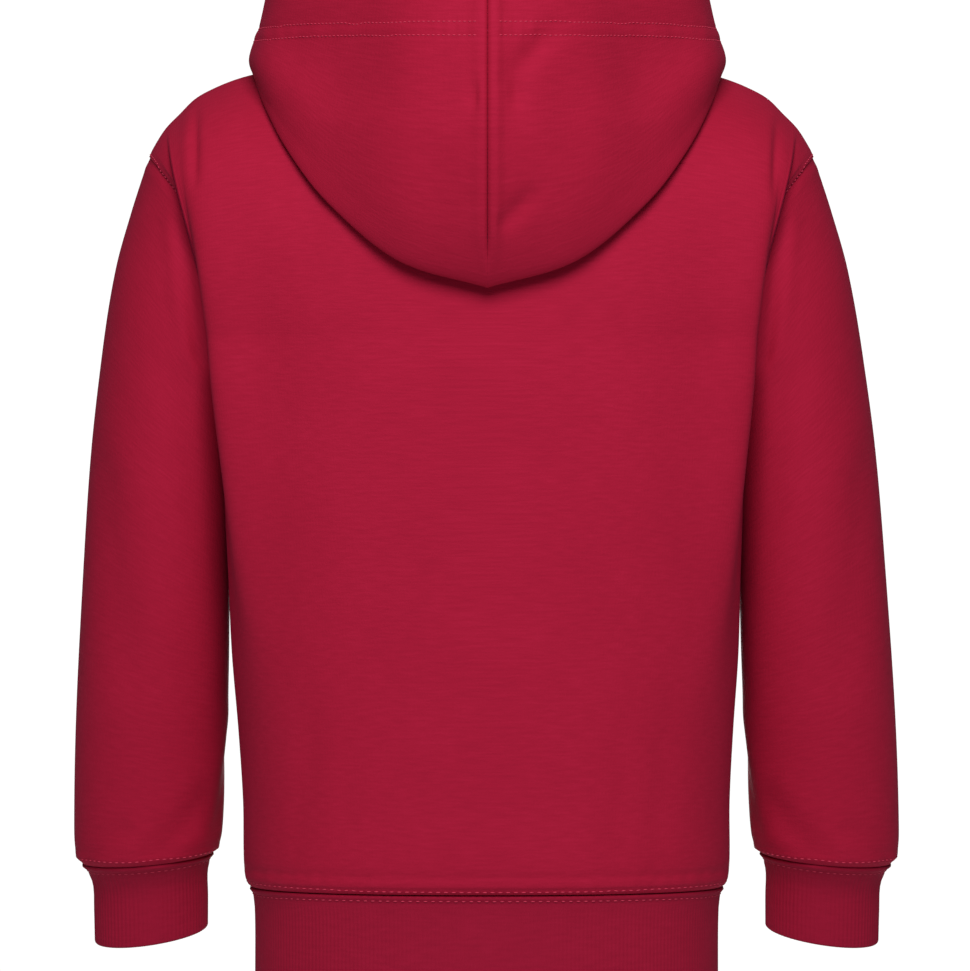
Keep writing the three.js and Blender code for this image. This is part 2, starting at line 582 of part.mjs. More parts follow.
// A point of the hood on the +X side. round is 0 at the throat and 1 at the centre seam, and
// along runs from the neck seam (0) to the rim (1).
function hoodSurface(round, along) {
  const way = round < 0.5 ? -1 : 1;
  const turn = Math.min(Math.abs(round - 0.5) * 2, 1);
  const { seam, crest, fold, belly, rim } = hoodProfile(turn, way);
  const out = crest.clone().sub(seam).setZ(0);
  const foldOut = belly.clone().sub(fold).setZ(0);
  const stand = seam.clone().lerp(crest, 0.5).addScaledVector(out, -STAND_IN);
  const over = crest.clone().lerp(fold, 0.12).add(vec(0, 0, OVER_LIFT));
  const descent = crest.clone().lerp(fold, 0.45).addScaledVector(out, DESCENT_OUT);
  const under = fold.clone().lerp(belly, 0.33).addScaledVector(foldOut, FOLD_BULGE);
  const lean = mix(RIM_LEAN.side, RIM_LEAN.middle, turn);
  const shoulder = belly.clone().lerp(rim, 0.5).addScaledVector(out.normalize(), lean);
  const stops = [seam, stand, crest, over, descent, fold, under, belly, shoulder, rim];
  const line = new THREE.CatmullRomCurve3(stops);
  return line.getPoint(THREE.MathUtils.clamp(along, 0, 1));
}

function hoodHalf(side) {
  const welt = CENTRE_SEAM_WELT;
  const grid = steps(0, 1, HOOD_ROWS).map((along) =>
    HOOD_ROUND.map((round) => {
      const point = hoodSurface(round, along);
      const normal = normalOf((v, u) => hoodSurface(u, v), along, round, -1);
      if (round === 0 || round === 1) normal.setX(0).normalize();
      if (along === 0) normal.setZ(0).normalize();
      point.z += HOOD_LIFT * (1 - fade(along, 0, LIFT_ENDS));
      const nearSeam = fade(along, welt.from, welt.to) * bell(point.x, welt.width);
      if (round > 0.5) point.addScaledVector(normal, welt.height * nearSeam);
      point.x += round === 0 ? FRONT_OPENING / 2 : 0;
      point.x = Math.max(point.x, SEAM_GAP / 2);
      return { point: onSide(point, side), normal: onSide(normal, side) };
    }),
  );
  return wall(grid, HOOD_CLOTH, false);
}

// Puts one piece in the hoodie.
function sew(hoodie, name, geometry, material) {
  const piece = new THREE.Mesh(geometry, material);
  piece.name = name;
  hoodie.add(piece);
}

const hoodie = new THREE.Group();
sew(hoodie, "body_back", bodyPanel(BACK_RISE), fleeceCloth);
sew(hoodie, "body_front", bodyPanel(FRONT_RISE), fleeceCloth);
for (const [name, side] of [["left", 1], ["right", -1]]) {
  sew(hoodie, `sleeve_${name}`, sleeve(side), fleeceCloth);
  sew(hoodie, `cuff_${name}`, cuff(side), ribCloth);
  sew(hoodie, `hood_${name}`, hoodHalf(side), fleeceCloth);
}
sew(hoodie, "hem_band", hemBand(), ribCloth);

export default hoodie;
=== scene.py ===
import math

import bmesh
import bpy
import numpy as np
from mathutils import Matrix, Vector
from mathutils.bvhtree import BVHTree


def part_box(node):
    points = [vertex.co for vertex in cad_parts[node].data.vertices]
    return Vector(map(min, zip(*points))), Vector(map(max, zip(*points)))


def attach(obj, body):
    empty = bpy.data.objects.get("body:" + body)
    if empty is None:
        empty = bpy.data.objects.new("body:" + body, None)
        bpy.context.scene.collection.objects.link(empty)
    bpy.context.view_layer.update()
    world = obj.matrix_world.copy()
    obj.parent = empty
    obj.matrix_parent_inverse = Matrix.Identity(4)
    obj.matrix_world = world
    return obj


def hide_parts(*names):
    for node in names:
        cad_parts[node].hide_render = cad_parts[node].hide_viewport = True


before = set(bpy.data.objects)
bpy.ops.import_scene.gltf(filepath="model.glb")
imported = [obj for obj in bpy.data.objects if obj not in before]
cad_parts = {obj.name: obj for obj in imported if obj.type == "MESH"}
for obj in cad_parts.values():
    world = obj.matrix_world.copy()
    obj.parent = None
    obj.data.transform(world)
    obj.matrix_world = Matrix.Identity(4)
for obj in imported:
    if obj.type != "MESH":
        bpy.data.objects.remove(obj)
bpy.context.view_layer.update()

# Back panel of the body. One layer of brushed sweatshirt fleece, smooth jersey side out,
# sewn at the side seams, armholes, sloping shoulders, shallow back neck and hem.
# It hangs filled out, and bellies past the armholes in a soft upright fold at each side.
MM = 0.001
FLEECE_THICK = 2.0 * MM


def table(names, rows):
    columns = list(zip(*rows))
    return {name: np.array(column, float) for name, column in zip(names.split(), columns)}


def read(rows, key, column, at):
    """One column of a table at values of its key, on a smooth curve through its rows."""
    keys, values = rows[key], rows[column]
    if keys[0] > keys[-1]:
        keys, values = keys[::-1], values[::-1]
    slopes = np.empty_like(values)
    slopes[1:-1] = (values[2:] - values[:-2]) / (keys[2:] - keys[:-2])
    slopes[0] = (values[1] - values[0]) / (keys[1] - keys[0])
    slopes[-1] = (values[-1] - values[-2]) / (keys[-1] - keys[-2])
    at = np.clip(at, keys[0], keys[-1])
    i = np.clip(np.searchsorted(keys, at, side="right") - 1, 0, len(keys) - 2)
    span = keys[i + 1] - keys[i]
    t = (at - keys[i]) / span
    return ((2 * t**3 - 3 * t**2 + 1) * values[i] + (t**3 - 2 * t**2 + t) * span * slopes[i]
            + (3 * t**2 - 2 * t**3) * values[i + 1] + (t**3 - t**2) * span * slopes[i + 1])


def fade(value, start, end):
    t = np.clip((value - start) / (end - start), 0, 1)
    return t * t * (3 - 2 * t)


def bell(distance, spread):
    return np.exp(-((distance / spread) ** 2))


def mix(a, b, t):
    return a + (b - a) * t


def points(x, y, z):
    return np.stack(np.broadcast_arrays(x, y, z), axis=-1).astype(float)


UNDERARM_Z = -140
HEM_SEAM_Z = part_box("body_back")[0][2] / MM
SHOULDER_TIP = np.array([166, 0, -48.5])
UNDERARM = np.array([120, 0, UNDERARM_Z])
ARMHOLE_HALF_DEPTH = 48
ARMHOLE_BOW = 9
BODY_SECTIONS = table("z half_width back front corner fold", [
    (HEM_SEAM_Z, 118.4, 73, 73, 2.4, 0),
    (-405, 121, 77, 77, 2.4, 0),
    (-370, 121.5, 77.5, 77.5, 2.45, 0),
    (-335, 123.5, 78, 78, 2.5, 0),
    (-295, 126.5, 79, 78, 2.6, 2),
    (-250, 128, 80, 78, 2.8, 7),
    (-200, 130, 81, 77, 3, 11),
    (-165, 132, 81, 76, 3.1, 13),
    (UNDERARM_Z, 133, 80, 75, 3.1, 14),
])
# The soft upright fold: degrees from the side seam, its spread, and its share front to back.
FOLD_AT, FOLD_SPREAD, FOLD_DEPTH_SHARE = 32, 11, 0.3
SLEEVE_SECTIONS = table("at out_x out_z in_x in_z mid_y half_depth lean", [
    (0, 166, -48.5, 120, -140, 0, 48, 0),
    (0.09, 175, -76, 121.6, -157, -1, 46.5, 0),
    (0.2, 183.4, -106, 123.4, -180, -3, 44, 0),
    (0.35, 191, -151, 125.6, -212, -6, 42, 1),
    (0.52, 197.8, -212, 127.8, -255, -12, 40, 2),
    (0.68, 203, -272, 129, -300, -20, 38, 3),
    (0.82, 207, -330, 131, -344, -29, 36, 4),
    (0.94, 209, -382, 134, -384, -38, 34.5, 5),
    (0.98, 208.4, -398, 135.8, -394, -40.5, 33.5, 5),
    (1, 205, -404, 139, -398.5, -41.5, 30, 5),
])
# The room between body and sleeve, at the armhole and below it, and over how far it changes, in mm.
CLEAR_AT_SEAM, CLEAR_BELOW, CLEAR_CHANGES_OVER = 1.5, 0.7, 8
# Where it meets the sleeve, the body's side bends softly over so many mm, with a dip.
MEET_OVER, MEET_DIP = 8, 2
ARMHOLE_BOW_ENDS = 0.25
HALVINGS = 24
FAR = 1000


def sleeve_inner_side(y, along):
    """Where the body side of the sleeve is, at a depth y, on the ring at a place along it."""
    get = lambda column: read(SLEEVE_SECTIONS, "at", column, along)
    lean = np.radians(get("lean"))
    deep = (y - get("mid_y")) / (get("half_depth") * np.cos(lean))
    reached = np.abs(deep) < 1
    deep = np.clip(deep, -1, 1)
    inner = (1 + np.sqrt(1 - deep**2)) / 2
    bow = ARMHOLE_BOW * deep**2 * (1 - fade(along, 0, ARMHOLE_BOW_ENDS))
    x = mix(get("out_x"), get("in_x"), inner) - bow
    z = mix(get("out_z"), get("in_z"), inner) - np.sin(lean) * get("half_depth") * deep
    return x, z, reached


def beside_sleeve(y, z):
    """How far out the body may stand beside the sleeve, in mm. It is FAR where no sleeve is."""
    y, z = np.broadcast_arrays(np.asarray(y, float), np.asarray(z, float))
    _, first_z, in_ring = sleeve_inner_side(y, np.zeros_like(y))
    share = (SHOULDER_TIP[2] - z) / (SHOULDER_TIP[2] - UNDERARM[2])
    plane = mix(SHOULDER_TIP[0], UNDERARM[0], share) - CLEAR_AT_SEAM
    plane = plane - ARMHOLE_BOW * (y / ARMHOLE_HALF_DEPTH) ** 2
    low, high = np.zeros_like(y), np.ones_like(y)
    for _ in range(HALVINGS):
        middle = (low + high) / 2
        _, ring_z, reached = sleeve_inner_side(y, middle)
        above = reached & (ring_z > z)
        low = np.where(above, middle, low)
        high = np.where(above, high, middle)
    x, _, _ = sleeve_inner_side(y, low)
    x = x - mix(CLEAR_AT_SEAM, CLEAR_BELOW, fade(first_z - z, 0, CLEAR_CHANGES_OVER))
    past_cuff = high > 0.9999
    x = np.where(past_cuff, FAR, x)
    x = np.where(z >= first_z, np.where(share > 0.5, plane, FAR), x)
    return np.where(in_ring, x, FAR)


def rounded_section(half_width, depth, corner, angle):
    across, deep = np.cos(np.radians(angle)), np.sin(np.radians(angle))
    shape = lambda value: np.sign(value) * np.abs(value) ** (2 / corner)
    return half_width * shape(across), depth * shape(deep)


def lower_body(angle, z):
    get = lambda column: read(BODY_SECTIONS, "z", column, z)
    depth = np.where(angle > 0, get("back"), get("front"))
    x, y = rounded_section(get("half_width"), depth, get("corner"), angle)
    from_side = np.degrees(np.arcsin(np.abs(np.sin(np.radians(angle)))))
    fold = get("fold") * bell(from_side - FOLD_AT, FOLD_SPREAD)
    y = y + np.sign(y) * fold * FOLD_DEPTH_SHARE
    wanted, most = np.abs(x) + fold, beside_sleeve(y, z)
    share = np.clip(0.5 + (most - wanted) / MEET_OVER, 0, 1)
    out = mix(most, wanted, share) - MEET_DIP * share * (1 - share)
    return points(np.sign(x) * out, y, z)


def armhole(turn):
    middle, up = (SHOULDER_TIP + UNDERARM) / 2, (SHOULDER_TIP - UNDERARM) / 2
    angle = 2 * math.pi * np.asarray(turn, float)
    ring = middle + np.cos(angle)[..., None] * up
    return ring + points(-ARMHOLE_BOW * np.sin(angle) ** 2, ARMHOLE_HALF_DEPTH * np.sin(angle), 0)


NECK_HALF_WIDTH, NECK_Y = 66, -6
NECK_DEPTH = {1: 54, -1: 52}
NECK_DROP = {1: 8, -1: 38}
SHOULDER_LINE = table("x z", [
    (NECK_HALF_WIDTH, 0), (90, -3), (110, -6), (123, -9.5), (135, -14.5), (143.5, -19.5),
    (150.5, -26.5), (158, -34.5), (164.2, -44.5), (166, -48.5),
])
# The top edge is shoulder up to this share of the panel's width from each side, and neck past it.
NECK_SHARE = 1 / 3
# Where the upper body heads before its top edge: how far back or forward, and how far below, in mm.
RISE = {1: {"shoulder": 76, "neck": 70}, -1: {"shoulder": 68, "neck": 70}}
RISE_BELOW_TOP = 26
# The lower body's lean over this many mm at the underarm carries on upward, so many times as far.
LEAN_OVER, LEAN_ON = 2.0, 20
# Shares of the panel's width from each side: where the armhole's edge still pulls, and where the
# cloth stands out over the shoulder blade and no longer does.
ARMHOLE_PULL = 0.14
BLADE_FULL, BLADE_ENDS = 0.18, 0.3
# The slope that the cloth has at the shoulder seam is rounded off over this many mm.
SEAM_SLOPE, SEAM_ROUND = 0.34, 8


def neckline(turn, way):
    bend = np.sin(math.pi / 2 * turn)
    return points(NECK_HALF_WIDTH * np.cos(math.pi / 2 * turn), NECK_Y + way * NECK_DEPTH[way] * bend,
                  -NECK_DROP[way] * np.abs(bend) ** 1.5)


def top_edge(half, way):
    share = np.clip(half / NECK_SHARE, 0, 1)
    x = mix(SHOULDER_TIP[0], NECK_HALF_WIDTH, share**2)
    shoulder = points(x, mix(0, NECK_Y, share), read(SHOULDER_LINE, "x", "z", x))
    neck = neckline(np.clip((half - NECK_SHARE) / (0.5 - NECK_SHARE), 0, 1), way)
    return np.where((half >= NECK_SHARE)[..., None], neck, shoulder)


def rise_curve(half, rise, way):
    """The upper body: a smooth curve for each place across, from underarm height to the top edge."""
    start = lower_body(way * 180 * half, UNDERARM_Z)
    lean = (start - lower_body(way * 180 * half, UNDERARM_Z - LEAN_OVER)) * LEAN_ON
    end = top_edge(half, way)
    middle = fade(half, NECK_SHARE * 0.8, 0.5)
    out = fade(half, 0, BLADE_FULL) * (1 - fade(half, BLADE_FULL, BLADE_ENDS))
    first = start + lean + points(2 * out, way * mix(6, 1, middle), 0)
    second_y = way * mix(RISE[way]["shoulder"], RISE[way]["neck"], middle)
    second = points(end[..., 0] + 4 * out, second_y, end[..., 2] - RISE_BELOW_TOP)
    t = np.asarray(rise)[..., None]
    return (1 - t)**3 * start + 3 * (1 - t)**2 * t * first + 3 * (1 - t) * t**2 * second + t**3 * end


def upper_body(half, rise, way):
    point = rise_curve(half, rise, way)
    edge = armhole(0.5 * (1 - rise) * way) - rise_curve(np.zeros_like(half), rise, way)
    point = point + edge * (1 - fade(half, 0, ARMHOLE_PULL))[..., None]
    from_seam = np.abs(point[..., 1] - top_edge(half, way)[..., 1])
    on_shoulder = fade(half, 0, 0.1) * (1 - fade(half, 0.8 * NECK_SHARE, NECK_SHARE)) * fade(rise, 0.5, 0.8)
    point[..., 2] += SEAM_SLOPE * from_seam * np.exp(-from_seam / SEAM_ROUND) * on_shoulder
    limit = beside_sleeve(point[..., 1], point[..., 2])
    point[..., 0] = np.where(half > 0.001, np.minimum(point[..., 0], limit), point[..., 0])
    return point


# The share of a panel's length, from hem to top edge, that lies below the underarm.
UNDERARM_V = 0.6


def panel_point(u, v, way):
    """A point of a body panel: u from one side seam to the other, v from hem to top edge."""
    half, side = np.minimum(u, 1 - u), np.where(u <= 0.5, 1, -1)
    lower = lower_body(way * 180 * half, mix(HEM_SEAM_Z, UNDERARM_Z, np.clip(v / UNDERARM_V, 0, 1)))
    upper = upper_body(half, np.clip((v - UNDERARM_V) / (1 - UNDERARM_V), 0, 1), way)
    point = np.where((v <= UNDERARM_V)[..., None], lower, upper)
    point[..., 0] = point[..., 0] * side
    return point


def cloth_grid(columns, rows, place, size, u_stops=((0, 0), (1, 1)), v_stops=((0, 0), (1, 1))):
    """A grid of cloth, placed by a function of (u, v), with its UV map in metres of cloth."""
    bm = bmesh.new()
    uv_layer = bm.loops.layers.uv.new("Cloth")
    bmesh.ops.create_grid(bm, x_segments=columns, y_segments=rows, size=0.5, calc_uvs=True)
    raw = np.array([vert.co[:2] for vert in bm.verts]) + 0.5
    u = np.interp(raw[:, 0], *zip(*u_stops))
    v = np.interp(raw[:, 1], *zip(*v_stops))
    placed = place(u, v) * MM
    for vert, co in zip(bm.verts, placed):
        vert.co = co
    spot = {vert.index: (cu * size[0] * MM, cv * size[1] * MM) for vert, cu, cv in zip(bm.verts, u, v)}
    for face in bm.faces:
        for loop in face.loops:
            loop[uv_layer].uv = spot[loop.vert.index]
    return bm, u, v


def turn_out(bm, centre):
    """Turns all the faces of an open shell the same way, away from a point inside it."""
    bm.normal_update()
    facing = sum(face.normal.dot(face.calc_center_median() - centre) * face.calc_area()
                 for face in bm.faces)
    if facing < 0:
        bmesh.ops.reverse_faces(bm, faces=bm.faces[:])
    bm.normal_update()


def press(bm, depth):
    """Moves each vertex out of the cloth along its normal, by mm."""
    bm.normal_update()
    for vert, d in zip(bm.verts, depth):
        vert.co += vert.normal * float(d) * MM


def ridges(distance, rows):
    """Soft ridges and grooves beside a line, each row a height, a place and a spread in mm."""
    return sum(height * bell(distance - place, spread) for height, place, spread in rows)


def creases(rows, x, z):
    """The depth in mm of soft creases, each a row from one (x, z) to another, at points of a panel."""
    depth = np.zeros_like(x)
    for x0, z0, x1, z1, width, deep in rows:
        run = np.array([x1 - x0, z1 - z0], float)
        t = np.clip(((x - x0) * run[0] + (z - z0) * run[1]) / (run @ run), 0, 1)
        off = np.hypot(x - x0 - t * run[0], z - z0 - t * run[1])
        ends = 1 - 0.75 * np.abs(2 * t - 1) ** 2
        depth += deep * bell(off, width) * ends
    return depth


def mark_open_edges(bm, seam_at=None):
    """Marks the cut edges that get soft, which are all but those at x = seam_at."""
    weight = bm.edges.layers.float.new("bevel_weight_edge")
    for edge in bm.edges:
        in_seam = seam_at is not None and all(abs(vert.co.x - seam_at) < 1e-6 for vert in edge.verts)
        edge[weight] = 1.0 if edge.is_boundary and not in_seam else 0.0


def make_piece(name, bm, material):
    mesh = bpy.data.meshes.new(name)
    bm.to_mesh(mesh)
    mesh.shade_smooth()
    mesh.materials.append(material)
    piece = bpy.data.objects.new(name, mesh)
    bpy.context.scene.collection.objects.link(piece)
    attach(piece, "root")
    return piece


SOFT_EDGE_SHARE, SOFT_EDGE_STEPS = 0.45, 3


def sew_in(piece, node, thickness):
    """Gives a cut of cloth its thickness and soft edges, in place of its CAD node."""
    if thickness:
        wall = piece.modifiers.new("Wall", "SOLIDIFY")
        wall.thickness = thickness
        wall.offset = -1
        edge = piece.modifiers.new("Soft edges", "BEVEL")
        edge.width = SOFT_EDGE_SHARE * thickness
        edge.segments = SOFT_EDGE_STEPS
        edge.limit_method = "WEIGHT"
    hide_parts(node)


def linear(hex_colour):
    parts = [int(hex_colour[i:i + 2], 16) / 255 for i in (1, 3, 5)]
    return tuple(c / 12.92 if c <= 0.04045 else ((c + 0.055) / 1.055) ** 2.4 for c in parts) + (1,)


def add_node(tree, kind, settings=(), links=()):
    node = tree.nodes.new(kind)
    for name, value in dict(settings).items():
        if isinstance(name, int) or name in node.inputs:
            node.inputs[name].default_value = value
        else:
            setattr(node, name, value)
    for socket, source in dict(links).items():
        tree.links.new(source, node.inputs[socket])
    return node


# The knit: a flat matt jersey face with a faint slub along its courses, in three near tones of
# one dye. Sizes are in mm of cloth, and the noise scales are counts a metre.
FLEECE_DEEP, FLEECE_FACE, FLEECE_LIGHT = "#9f1127", "#a5132a", "#ab162f"
FLEECE_WALE_MM, FLEECE_BUMP = 1.1, 0.35
SLUB_MM = (10.0, 1.4)
SLUB_SHARE, PATCH_SHARE = 0.7, 0.3
PATCH_SCALE, FUZZ_SCALE = 22.0, 900.0
WALE_RELIEF, SLUB_RELIEF = 0.12, 0.8
RELIEF_METRES = 0.0004
# A wave texture's half wave is this many metres at scale 1. A wale is one half wave.
WAVE_BAND = math.pi / 20


def knit_material(name, dark, face, light, wale_mm, bump):
    material = bpy.data.materials.new(name)
    material.use_nodes = True
    tree = material.node_tree
    shader = tree.nodes["Principled BSDF"]
    shader.inputs["Roughness"].default_value = 0.85
    shader.inputs["Specular IOR Level"].default_value = 0.42
    shader.inputs["Specular Tint"].default_value = linear("#a898ff")
    shader.inputs["Sheen Weight"].default_value = 0.02
    shader.inputs["Sheen Roughness"].default_value = 0.45
    shader.inputs["Sheen Tint"].default_value = linear("#e0405c")
    cloth = add_node(tree, "ShaderNodeUVMap", {"uv_map": "Cloth"}).outputs["UV"]
    slub_scale = (1000 / SLUB_MM[0], 1000 / SLUB_MM[1], 1)
    stretched = add_node(tree, "ShaderNodeMapping", {"Scale": slub_scale}, {"Vector": cloth})
    slub = add_node(tree, "ShaderNodeTexNoise", {"Scale": 1.0, "Detail": 3.0, "Roughness": 0.6},
                    {"Vector": stretched.outputs["Vector"]})
    patch = add_node(tree, "ShaderNodeTexNoise", {"Scale": PATCH_SCALE, "Detail": 2.0}, {"Vector": cloth})
    patches = add_node(tree, "ShaderNodeMath", {"operation": "MULTIPLY", 1: PATCH_SHARE},
                       {0: patch.outputs["Fac"]})
    tone = add_node(tree, "ShaderNodeMath", {"operation": "MULTIPLY_ADD", 1: SLUB_SHARE},
                    {0: slub.outputs["Fac"], 2: patches.outputs[0]})
    ramp = add_node(tree, "ShaderNodeValToRGB", {}, {"Fac": tone.outputs[0]})
    ramp.color_ramp.elements[0].position = 0.32
    ramp.color_ramp.elements[0].color = linear(dark)
    ramp.color_ramp.elements[1].position = 0.68
    ramp.color_ramp.elements[1].color = linear(light)
    middle = ramp.color_ramp.elements.new(0.5)
    middle.color = linear(face)
    tree.links.new(ramp.outputs["Color"], shader.inputs["Base Color"])
    wales = add_node(tree, "ShaderNodeTexWave",
                     {"wave_type": "BANDS", "bands_direction": "X", "Scale": WAVE_BAND / (wale_mm * MM),
                      "Distortion": 1.2, "Detail": 1.0, "Detail Scale": 1.5}, {"Vector": cloth})
    fuzz = add_node(tree, "ShaderNodeTexNoise", {"Scale": FUZZ_SCALE, "Detail": 2.0}, {"Vector": cloth})
    relief = add_node(tree, "ShaderNodeMath", {"operation": "MULTIPLY_ADD", 1: WALE_RELIEF},
                      {0: wales.outputs["Fac"], 2: fuzz.outputs["Fac"]})
    relief_slub = add_node(tree, "ShaderNodeMath", {"operation": "MULTIPLY_ADD", 1: SLUB_RELIEF},
                           {0: slub.outputs["Fac"], 2: relief.outputs[0]})
    bumped = add_node(tree, "ShaderNodeBump", {"Strength": bump, "Distance": RELIEF_METRES},
                      {"Height": relief_slub.outputs[0]})
    tree.links.new(bumped.outputs["Normal"], shader.inputs["Normal"])
    return material


fleece = knit_material("Sweatshirt fleece, brushed cotton", FLEECE_DEEP, FLEECE_FACE, FLEECE_LIGHT,
                       FLEECE_WALE_MM, FLEECE_BUMP)

# Soft drag lines of the back as (x, z) to (x, z), how wide and how deep in mm.
BACK_CREASES = [
    (92, -395, 84, -320, 7, -0.8), (68, -400, 66, -330, 6, -0.6), (28, -402, 30, -345, 7, -0.5),
    (-2, -400, -4, -350, 6, 0.5), (-38, -402, -40, -340, 7, -0.6), (-64, -400, -68, -325, 6, -0.7),
    (-84, -398, -92, -300, 7, -0.8), (118, -70, 110, -180, 12, -0.9), (-118, -60, -112, -190, 12, -0.9),
    (60, -130, 96, -210, 14, -0.9), (-60, -128, -100, -215, 14, -0.9), (20, -150, 60, -230, 16, -0.6),
    (-24, -150, -56, -240, 16, -0.6), (144, -26, 142.3, -66, 2.4, -2.4), (-145, -32, -142, -70, 2.4, -2.2),
]
# Rows of the grid lie closer at the hem and the top edge, and columns at the side seams.
DENSE_HEM = ((0, 0), (0.13, 0.03), (0.93, 0.965), (1, 1))
DENSE_SIDES = ((0, 0), (0.12, 0.08), (0.88, 0.92), (1, 1))
# Above the hem seam: the roll of the cloth, the groove of the stitches and the dip over them.
SEAM_ROW_MM = 3.2
HEM_RELIEF = [(0.7, 3.4, 2.4), (-0.35, SEAM_ROW_MM, 0.7), (-0.5, 9, 2.5)]
HEM_PUCKER, HEM_PUCKER_EVERY = [(0.14, 7, 3.5)], 7.5
PANEL_SIZE = (420, 430)
BODY_MIDDLE = Vector((0, 0, -0.2))
# The garment hangs a little askew: how far it lies to the wearer's left, in mm, by height.
ASKEW = table("z x", [(-460, -0.8), (-390, -0.8), (-200, 0.8), (-100, 1.7), (40, 1.7)])


def askew(point):
    point[..., 0] += read(ASKEW, "z", "x", point[..., 2])
    return point


def body_panel(way, crease_rows, columns, rows):
    place = lambda u, v: askew(panel_point(u, v, way))
    bm, u, v = cloth_grid(columns, rows, place, PANEL_SIZE, DENSE_SIDES, DENSE_HEM)
    turn_out(bm, BODY_MIDDLE)
    co = np.array([vert.co[:] for vert in bm.verts]) / MM
    from_hem = co[:, 2] - HEM_SEAM_Z
    pucker = np.sin(2 * math.pi * co[:, 0] / HEM_PUCKER_EVERY) * ridges(from_hem, HEM_PUCKER)
    roll = ridges(from_hem, HEM_RELIEF)
    turned_in = -0.8 * (1 - fade(from_hem, -0.2, 1.6))
    inside = fade(np.minimum(u, 1 - u), 0.0, 0.05)
    press(bm, (creases(crease_rows, co[:, 0], co[:, 2]) + roll + pucker) * inside + turned_in)
    mark_open_edges(bm)
    return bm


body_back = body_panel(1, BACK_CREASES, 200, 170)
back_surface = BVHTree.FromBMesh(body_back)
back_panel = make_piece("back_panel", body_back, fleece)
sew_in(back_panel, "body_back", FLEECE_THICK)

# Front panel of the body. One layer of the same fleece with a deeper neck, sewn to the back at
# the side and shoulder seams. The photograph doesn't show it, so it is plain.
FRONT_CREASES = [
    (88, -398, 82, -320, 7, -0.8), (50, -400, 48, -335, 6, -0.6), (4, -402, 6, -340, 8, -0.6),
    (-46, -400, -50, -330, 7, -0.7), (-88, -398, -94, -310, 7, -0.8), (112, -60, 104, -170, 12, -0.9),
    (-112, -64, -106, -180, 12, -0.9), (34, -70, 84, -160, 14, -1), (-32, -72, -88, -165, 14, -1),
]
body_front = body_panel(-1, FRONT_CREASES, 160, 150)
front_surface = BVHTree.FromBMesh(body_front)
front_panel = make_piece("front_panel", body_front, fleece)
sew_in(front_panel, "body_front", FLEECE_THICK)

# Sleeves. Each is one layer of the same fleece, sewn into a tube, set into the armhole and
# eased into its cuff, so that it sags over the cuff and creases from the armhole down.
# Each crease runs from one share of the turn and length to another, so many mm wide and deep.
SLEEVE_CREASES = table("turn along end_turn end_along width depth", [
    (0.2, 0.04, 0.31, 0.17, 5, -2.4),
    (0.25, 0.03, 0.33, 0.1, 4, -1.2),
    (0.28, 0.26, 0.34, 0.46, 10, -0.7),
    (0.8, 0.05, 0.68, 0.2, 6, -2.0),
    (0.72, 0.25, 0.66, 0.46, 10, -0.8),
    (0.38, 0.9, 0.28, 0.97, 7, -1.1),
    (0.2, 0.94, 0.1, 0.985, 5, -0.8),
    (0.66, 0.88, 0.76, 0.97, 5, -2),
    (0.52, 0.82, 0.44, 0.93, 8, -1.0),
    (0.12, 0.5, 0.2, 0.72, 12, -1),
    (0.9, 0.45, 0.82, 0.7, 12, -1),
])
SLEEVE_GIRTH, SLEEVE_LENGTH = 250, 330
HANDS = ((1, "left"), (-1, "right"))
ARMHOLE_GAP = 0.4
DENSE_ENDS = ((0, 0), (0.12, 0.045), (0.85, 0.93), (1, 1))
SLEEVE_MIDDLE = (0.165, -0.015, -0.22)
CUFF_WELT_AT = 0.988


def arm_ring(rows, along, turn, bowed):
    """A point of a sleeve or cuff, at a share along it and a share of a turn from its outer side."""
    get = lambda column: read(rows, "at", column, along)
    outer = points(get("out_x"), get("mid_y"), get("out_z"))
    inner = points(get("in_x"), get("mid_y"), get("in_z"))
    lean, angle = np.radians(get("lean")), 2 * math.pi * turn
    deep = points(0, np.cos(lean), -np.sin(lean)) * get("half_depth")[..., None]
    ring = (outer + inner) / 2 + (outer - inner) / 2 * np.cos(angle)[..., None]
    ring = ring + deep * np.sin(angle)[..., None]
    if bowed:
        ring[..., 0] -= ARMHOLE_BOW * np.sin(angle) ** 2 * (1 - fade(along, 0, ARMHOLE_BOW_ENDS))
    return ring


def sleeve_creases(turn, along):
    depth = np.zeros_like(turn)
    for k in range(len(SLEEVE_CREASES["turn"])):
        row = {name: column[k] for name, column in SLEEVE_CREASES.items()}
        run = np.array([(row["end_turn"] - row["turn"]) * SLEEVE_GIRTH,
                        (row["end_along"] - row["along"]) * SLEEVE_LENGTH])
        du = ((turn - row["turn"] + 0.5) % 1 - 0.5) * SLEEVE_GIRTH
        dv = (along - row["along"]) * SLEEVE_LENGTH
        t = np.clip((du * run[0] + dv * run[1]) / (run @ run), 0, 1)
        off = np.hypot(du - t * run[0], dv - t * run[1])
        beside = bell(off - 2 * row["width"], row["width"])
        depth += row["depth"] * (bell(off, row["width"]) - 0.35 * beside)
    return depth


